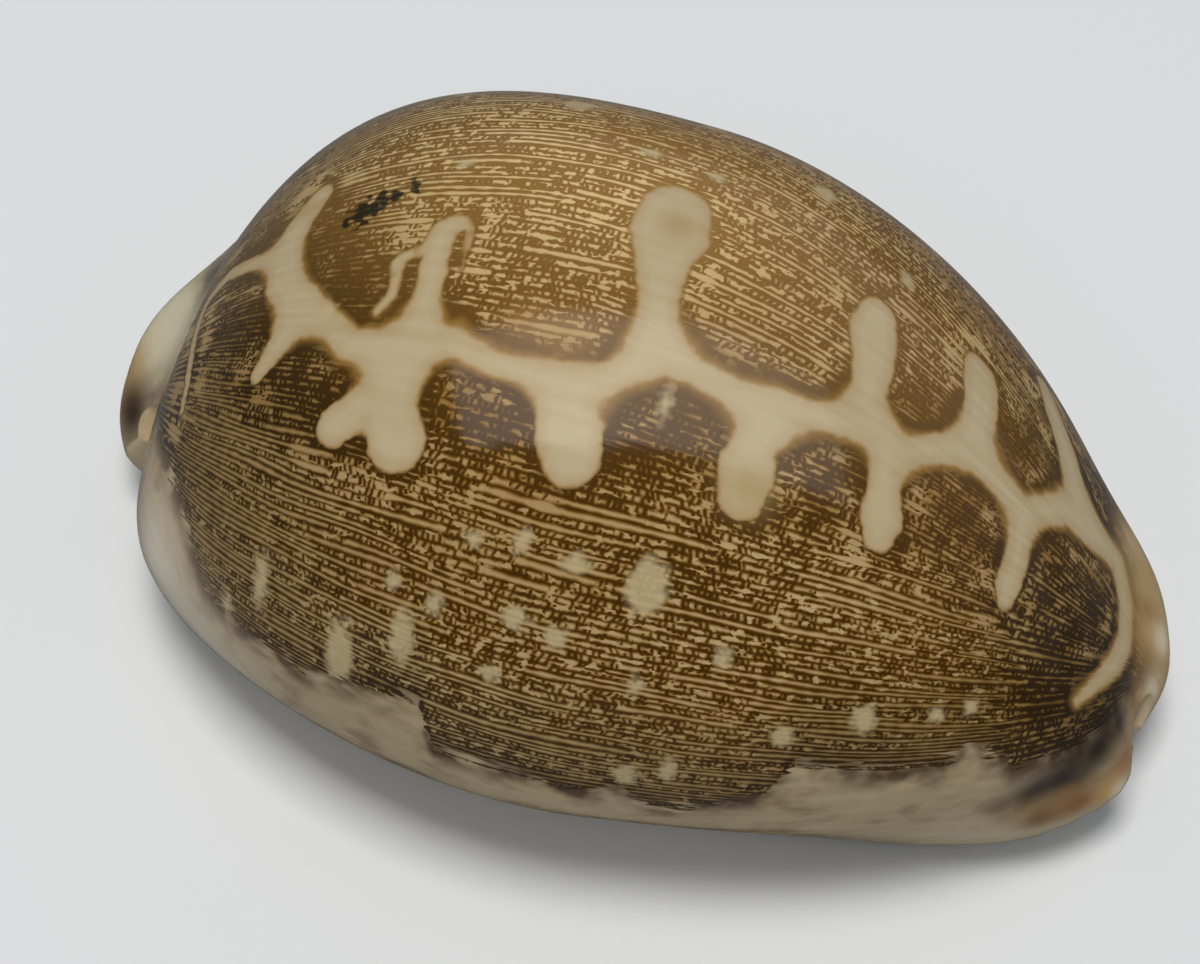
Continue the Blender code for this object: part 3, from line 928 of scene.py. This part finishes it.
def wrap_slab(slab, teeth_depth, lip_teeth, spire_teeth):
    """Carries each point of the slab to its place, and returns its row, column and layer."""
    outer, rings, inner = shell_layers(teeth_depth, lip_teeth, spire_teeth)
    flat = read_points(slab.data)
    if len(flat) < 2 * SECTIONS * POINTS_AROUND:
        raise RuntimeError("the slab has too few points")
    row = np.rint((flat[:, 0] + 0.5) * (SECTIONS - 1)).astype(int)
    column = np.rint((flat[:, 1] + 0.5) * (POINTS_AROUND - 1)).astype(int)
    layer = np.rint(flat[:, 2]).astype(int)
    order = np.full((SECTIONS, POINTS_AROUND), -1)
    numbered = rim(np.arange(SECTIONS * POINTS_AROUND).reshape(SECTIONS, POINTS_AROUND))
    order.ravel()[numbered] = np.arange(len(numbered))
    placed = inner[row, column]
    is_outer = layer == LIP_STEPS + 1
    placed[is_outer] = outer[row[is_outer], column[is_outer]]
    on_ring = (layer > 0) & ~is_outer
    ring_points = np.array(rings)
    ring_step = LIP_STEPS - layer[on_ring]
    placed[on_ring] = ring_points[ring_step, order[row[on_ring], column[on_ring]]]
    slab.data.vertices.foreach_set("co", into_box(placed).ravel())
    slab.data.update()
    return row, column, layer


def add_field(mesh, name, values):
    """Stores one number or colour at each point, for the material to read."""
    kind, key = ("FLOAT", "value") if values.ndim == 1 else ("FLOAT_COLOR", "color")
    attribute = mesh.attributes.new(name, kind, "POINT")
    attribute.data.foreach_set(key, values.astype(np.float32).ravel())


def unwrap_shell(mesh, row, column, layer):
    """Lays the outside and lips out as one oval, and the inner wall small in a corner."""
    across = np.linspace(0.0, 1.0, SECTIONS)
    swell = np.sqrt(np.clip(1.0 - (2.0 * across - 1.0) ** 2, LEAST_SWELL, None))[row]
    across = across[row]
    side = column / (POINTS_AROUND - 1) - 0.5
    from_outside = (LIP_STEPS + 1 - layer) / (LIP_STEPS + 1)
    ends = (row == SECTIONS - 1).astype(float) - (row == 0)
    oval = np.stack([
        OVAL_START + OVAL_LENGTH * across + LIPS_LENGTH * from_outside * ends,
        0.5 + side * swell * (OVAL_HEIGHT + LIPS_HEIGHT * from_outside),
    ], axis=1)
    patch = np.stack([PATCH_START + PATCH_SIZE * across, PATCH_MIDDLE + PATCH_SIZE * side * swell], axis=1)

    # A face of the inner wall has all its points on the deepest layer.
    points = np.empty(len(mesh.loops), dtype=np.int32)
    mesh.loops.foreach_get("vertex_index", points)
    first = np.empty(len(mesh.polygons), dtype=np.int32)
    mesh.polygons.foreach_get("loop_start", first)
    highest = np.maximum.reduceat(layer[points], first)
    is_inner = np.repeat(highest == 0, np.diff(first, append=len(points)))
    places = np.where(is_inner[:, None], patch[points], oval[points])
    layout = mesh.uv_layers.new(name="OFBake")
    layout.data.foreach_set("uv", places.astype(np.float32).ravel())
    mesh.uv_layers.active = layout


def thin_lining(shell, layer):
    """Makes the inner wall coarse, since only a strip of it shows through the slit."""
    mesh = shell.data
    bpy.ops.object.mode_set(mode="EDIT")
    bpy.ops.mesh.select_mode(type="FACE")
    bpy.ops.mesh.select_all(action="DESELECT")
    edit = bmesh.from_edit_mesh(mesh)
    edit.faces.ensure_lookup_table()
    for face in edit.faces:
        if all(layer[corner.index] == 0 for corner in face.verts):
            face.select_set(True)
    bmesh.update_edit_mesh(mesh)
    bpy.ops.mesh.decimate(ratio=LINING_LEFT)
    bpy.ops.object.mode_set(mode="OBJECT")


def outward_volume(mesh):
    points = read_points(mesh)
    mesh.calc_loop_triangles()
    corners = np.empty(len(mesh.loop_triangles) * 3, dtype=np.int32)
    mesh.loop_triangles.foreach_get("vertices", corners)
    first, second, third = points[corners.reshape(-1, 3)].transpose(1, 0, 2)
    return float(np.einsum("ij,ij->i", first, np.cross(second, third)).sum()) / 6.0


def make_shell(shape, looks):
    slab = make_slab()
    row, column, layer = wrap_slab(slab, shape.teeth_depth / MM, shape.lip_teeth, shape.spire_teeth)
    mesh = slab.data
    points = read_points(mesh) / MM
    is_outside = layer == LIP_STEPS + 1
    for name, values in marking_fields(points, is_outside).items():
        add_field(mesh, name, values)
    ring = np.clip((LIP_STEPS + 1 - layer) / (LIP_STEPS + 1), 0.0, 1.0)
    middle = np.minimum(row, SECTIONS - 1 - row) > LIP_TINT_START * SECTIONS
    add_field(mesh, "lips", ring * middle * LIP_TINT)
    add_field(mesh, "lining", (layer == 0).astype(float))
    for old in list(mesh.uv_layers):
        mesh.uv_layers.remove(old)
    unwrap_shell(mesh, row, column, layer)
    if outward_volume(mesh) < 0.0:
        bpy.ops.object.mode_set(mode="EDIT")
        bpy.ops.mesh.select_all(action="SELECT")
        bpy.ops.mesh.flip_normals()
        bpy.ops.object.mode_set(mode="OBJECT")
    thin_lining(slab, layer)
    mesh.shade_smooth()
    slab.name = "cowrie"
    mesh.name = "cowrie"
    mesh.materials.clear()
    mesh.materials.append(shell_material(looks))
    return slab


# ---------------------------------------------------------------- stage


def make_table(stage):
    deselect_all()
    bpy.ops.mesh.primitive_circle_add(
        vertices=TABLE_SIDES, radius=stage.table_radius, fill_type="NGON", location=(0.0, 0.0, 0.0)
    )
    table = bpy.context.active_object
    table.name = "table"
    table.data.materials.append(table_material(stage))


def add_softbox(name, power, place, aim, size, turn, colour):
    """A rectangular soft light at a place, facing a point, turned about its own axis."""
    lamp = bpy.data.lights.new(name, "AREA")
    lamp.shape = "RECTANGLE"
    lamp.size, lamp.size_y = size
    lamp.energy = power
    lamp.spread = SOFTBOX_SPREAD
    lamp.color = colour
    softbox = bpy.data.objects.new(name, lamp)
    facing = (Vector(place) - Vector(aim)).to_track_quat("Z", "Y").to_matrix()
    softbox.matrix_world = Matrix.Translation(place) @ (facing @ Matrix.Rotation(turn, 3, "Z")).to_4x4()
    bpy.context.scene.collection.objects.link(softbox)
    return softbox


def make_world(stage):
    world = bpy.data.worlds.new("studio_air")
    world.use_nodes = True
    world.node_tree.nodes.clear()
    add = functools.partial(add_node, world.node_tree)
    seen = add("LightPath", output="Is Camera Ray")
    mirrored = add("LightPath", output="Is Glossy Ray")
    way = add("TexCoord", output="Generated")
    behind = add("VectorMath", way, stage.air_bright_side, output="Value", operation="DOT_PRODUCT")
    in_gloss = add("MapRange", behind, 0.35, 1.0, stage.gloss_front, stage.gloss_back)
    strength = add("Mix", mirrored, stage.air_strength, in_gloss, data_type="FLOAT")
    air = add("Background", stage.air_colour, strength)
    backdrop = add("Background", stage.backdrop_colour, 1.0)
    add("OutputWorld", add("MixShader", seen, air, backdrop))
    bpy.context.scene.world = world


def make_camera(stage):
    """The camera looks down at the shell from the outer lip's side, a little from the front."""
    turn, climb, roll = stage.azimuth, stage.elevation, stage.roll
    forward = Vector((math.sin(turn) * math.cos(climb), math.cos(turn) * math.cos(climb), -math.sin(climb)))
    right = Vector((math.cos(turn), -math.sin(turn), 0.0))
    up = right.cross(forward)
    right, up = right * math.cos(roll) + up * math.sin(roll), up * math.cos(roll) - right * math.sin(roll)
    data = bpy.data.cameras.new("camera")
    data.lens = stage.lens
    data.sensor_width = SENSOR_WIDTH
    camera = bpy.data.objects.new("camera", data)
    turned = Matrix((right, up, -forward)).transposed().to_4x4()
    camera.matrix_world = Matrix.Translation(Vector(stage.camera_place)) @ turned
    bpy.context.scene.collection.objects.link(camera)
    bpy.context.scene.camera = camera


# ---------------------------------------------------------------- settings a user can change


def colour_setting(name, description, code):
    return bpy.props.FloatVectorProperty(
        name=name, description=description, default=linear(code), size=3, min=0.0, max=1.0, subtype="COLOR"
    )


class CowrieShape(bpy.types.PropertyGroup):
    """Sizes of the details that the outline leaves open."""

    teeth_depth: bpy.props.FloatProperty(
        name="Tooth height", description="How far each tooth stands out of its lip", default=0.0005,
        min=0.0, max=0.001, unit="LENGTH",
    )
    lip_teeth: bpy.props.IntProperty(
        name="Outer lip teeth", description="Teeth along the outer lip", default=36, min=1, max=60
    )
    spire_teeth: bpy.props.IntProperty(
        name="Spire side teeth", description="Teeth along the spire side's lip", default=32, min=1, max=60
    )


class CowrieLooks(bpy.types.PropertyGroup):
    """Colours and finish of the shell."""

    line_degrees: bpy.props.FloatProperty(
        name="Line spacing", description="Degrees round the shell from one fine line to the next",
        default=1.22, min=0.8, max=6.0,
    )
    line_half_width: bpy.props.FloatProperty(
        name="Half line width", description="Half the width of a brown line, in millimetres", default=0.1,
        min=0.0, max=0.6,
    )
    stroke_density: bpy.props.FloatProperty(
        name="Stroke density", description="Short strokes to a millimetre along the lines", default=2.25,
        min=0.2, max=6.0,
    )
    line_warm: colour_setting("Line brown, warm", "Brown of the lines on the dome's middle", "#452B05")
    # Painted shade: a darker, cooler copy of the line brown, towards the ends and low on the sides.
    line_shaded: colour_setting("Line brown, cool", "Brown of the lines towards the ends", "#2A1D08")
    # Painted sheen: a paler copy of the line brown, over the top of the dome.
    line_top_sheen: colour_setting("Line brown, top", "Brown of the lines over the top", "#997236")
    ochre: colour_setting("Ochre", "Thin brown at the edges of the marks", "#80591A")
    # Painted shade: a darker copy of the ochre, towards the ends and low on the sides.
    ochre_shaded: colour_setting("Ochre, cool", "Thin brown towards the ends", "#6E542A")
    ground_warm: colour_setting("Ground, warm", "Ground between the lines on the dome's middle", "#BEA474")
    # Painted shade: a darker copy of the ground, towards the ends and low on the sides.
    ground_shaded: colour_setting("Ground, cool", "Ground between the lines towards the ends", "#A48D62")
    # Painted sheen: a paler copy of the ground, over the top of the dome.
    ground_top_sheen: colour_setting("Ground, top", "Ground between the lines over the top", "#E4C78D")
    band: colour_setting("Mantle line", "The pale wavy line", "#C2B190")
    band_shade: colour_setting("Mantle line shade", "Streaks in the pale wavy line", "#B4A078")
    band_edge: colour_setting("Mantle line edge", "Golden blur along the pale wavy line", "#A27B3E")
    spot: colour_setting("Spots", "Small pale spots", "#C2AF86")
    speck: colour_setting("Specks", "Small black specks", "#17180F")
    callus: colour_setting("Callus", "Thick pale glaze below the markings", "#BAA685")
    callus_shade: colour_setting("Callus shade", "Fibres in the pale glaze", "#AF9B77")
    callus_cloud: colour_setting("Callus clouds", "Soft brown clouds in the pale glaze", "#83684A")
    callus_smear: colour_setting("Callus smears", "Brown under the glaze along the hem", "#3F2812")
    base: colour_setting("Base", "The shell's underside", "#C9B79C")
    teeth: colour_setting("Teeth", "Tint of the toothed lips", "#B07A45")
    lining: colour_setting("Lining", "The inner wall", "#B5A9A2")
    roughness: bpy.props.FloatProperty(
        name="Roughness", description="Dullness of the glaze", default=0.10, min=0.0, max=1.0,
        subtype="FACTOR",
    )
    ior: bpy.props.FloatProperty(
        name="IOR", description="Refractive index of the glaze", default=1.46, min=1.3, max=1.8
    )


class CowrieStage(bpy.types.PropertyGroup):
    """Table, light and camera."""

    table_colour: colour_setting("Table colour", "Colour of the table", "#E9ECEF")
    table_mirrored_shade: colour_setting("Mirrored table", "Colour of the table in the shell's glaze", "#707274")
    table_radius: bpy.props.FloatProperty(
        name="Table radius", description="Radius of the table", default=3.0, min=0.5, unit="LENGTH"
    )
    air_colour: colour_setting("Air colour", "Colour of the light from all round", "#E8EEF4")
    air_strength: bpy.props.FloatProperty(
        name="Air strength", description="Strength of the even light from all round", default=0.335, min=0.0
    )
    gloss_front: bpy.props.FloatProperty(
        name="Mirrored room, front", description="How bright the room is that the glaze mirrors",
        default=0.07, min=0.0,
    )
    gloss_back: bpy.props.FloatProperty(
        name="Mirrored room, back", description="How bright the back wall is that the glaze mirrors",
        default=0.4, min=0.0,
    )
    air_bright_side: bpy.props.FloatVectorProperty(
        name="Bright side", description="Direction that the brightest air lies in", default=(0.35, 0.9, 0.2),
        size=3, subtype="DIRECTION",
    )
    backdrop_colour: colour_setting("Backdrop colour", "Colour seen past the table", "#D9DCDF")
    softbox_power: bpy.props.FloatProperty(
        name="Softbox power", description="Power of the long softbox", default=1.45, min=0.0, unit="POWER"
    )
    key_power: bpy.props.FloatProperty(
        name="Key power", description="Power of the light that casts the shadow", default=1.52,
        min=0.0, unit="POWER",
    )
    azimuth: bpy.props.FloatProperty(
        name="Camera azimuth", description="Turn of the view from +Y towards +X", default=math.radians(-10.9),
        subtype="ANGLE",
    )
    elevation: bpy.props.FloatProperty(
        name="Camera elevation", description="Height of the view above the table", default=math.radians(58.0),
        subtype="ANGLE",
    )
    roll: bpy.props.FloatProperty(
        name="Camera roll", description="Turn of the view about its own axis", default=math.radians(1.73),
        subtype="ANGLE",
    )
    lens: bpy.props.FloatProperty(
        name="Focal length", description="Focal length in millimetres", default=92.5, min=10.0
    )
    camera_place: bpy.props.FloatVectorProperty(
        name="Camera place", description="Where the camera stands", default=(0.0185, -0.1088, 0.18955),
        size=3, subtype="TRANSLATION",
    )


# ---------------------------------------------------------------- operators and panel


class MESH_OT_cowrie_shell(bpy.types.Operator):
    """Build the cowrie shell with its markings"""

    bl_idname = "mesh.cowrie_shell"
    bl_label = "Build Cowrie Shell"
    bl_options = {"REGISTER", "UNDO"}

    def execute(self, context):
        shell = make_shell(context.scene.cowrie_shape, context.scene.cowrie_looks)
        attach(shell, "root")
        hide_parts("shell")
        return {"FINISHED"}


class SCENE_OT_cowrie_stage(bpy.types.Operator):
    """Set up the table, the lights and the camera"""

    bl_idname = "scene.cowrie_stage"
    bl_label = "Set Up Stage"
    bl_options = {"REGISTER", "UNDO"}

    def execute(self, context):
        stage = context.scene.cowrie_stage
        make_table(stage)
        make_world(stage)
        # The long softbox is only what the glaze mirrors, and the key light gives the light and shadow.
        mirrored = add_softbox("long_softbox", stage.softbox_power, *LONG_SOFTBOX)
        mirrored.visible_diffuse = False
        key = add_softbox("key_softbox", stage.key_power, *KEY_SOFTBOX)
        key.visible_glossy = False
        make_camera(stage)
        context.scene.view_settings.view_transform = "Standard"
        return {"FINISHED"}


class VIEW3D_PT_cowrie(bpy.types.Panel):
    """Settings and buttons for the shell"""

    bl_label = "Cowrie Shell"
    bl_space_type = "VIEW_3D"
    bl_region_type = "UI"
    bl_category = "Shell"

    def draw(self, context):
        layout = self.layout
        scene = context.scene
        for group, operator in (
            (scene.cowrie_shape, None),
            (scene.cowrie_looks, MESH_OT_cowrie_shell.bl_idname),
            (scene.cowrie_stage, SCENE_OT_cowrie_stage.bl_idname),
        ):
            box = layout.box()
            for name in group.__annotations__:
                box.prop(group, name)
            if operator:
                box.operator(operator)


CLASSES = (
    CowrieShape, CowrieLooks, CowrieStage, MESH_OT_cowrie_shell, SCENE_OT_cowrie_stage, VIEW3D_PT_cowrie
)


def register():
    for item in CLASSES:
        bpy.utils.register_class(item)
    bpy.types.Scene.cowrie_shape = bpy.props.PointerProperty(type=CowrieShape)
    bpy.types.Scene.cowrie_looks = bpy.props.PointerProperty(type=CowrieLooks)
    bpy.types.Scene.cowrie_stage = bpy.props.PointerProperty(type=CowrieStage)


def unregister():
    del bpy.types.Scene.cowrie_stage
    del bpy.types.Scene.cowrie_looks
    del bpy.types.Scene.cowrie_shape
    for item in reversed(CLASSES):
        bpy.utils.unregister_class(item)


def main():
    register()
    bpy.ops.scene.cowrie_stage()
    bpy.ops.mesh.cowrie_shell()


if __name__ == "__main__":
    main()
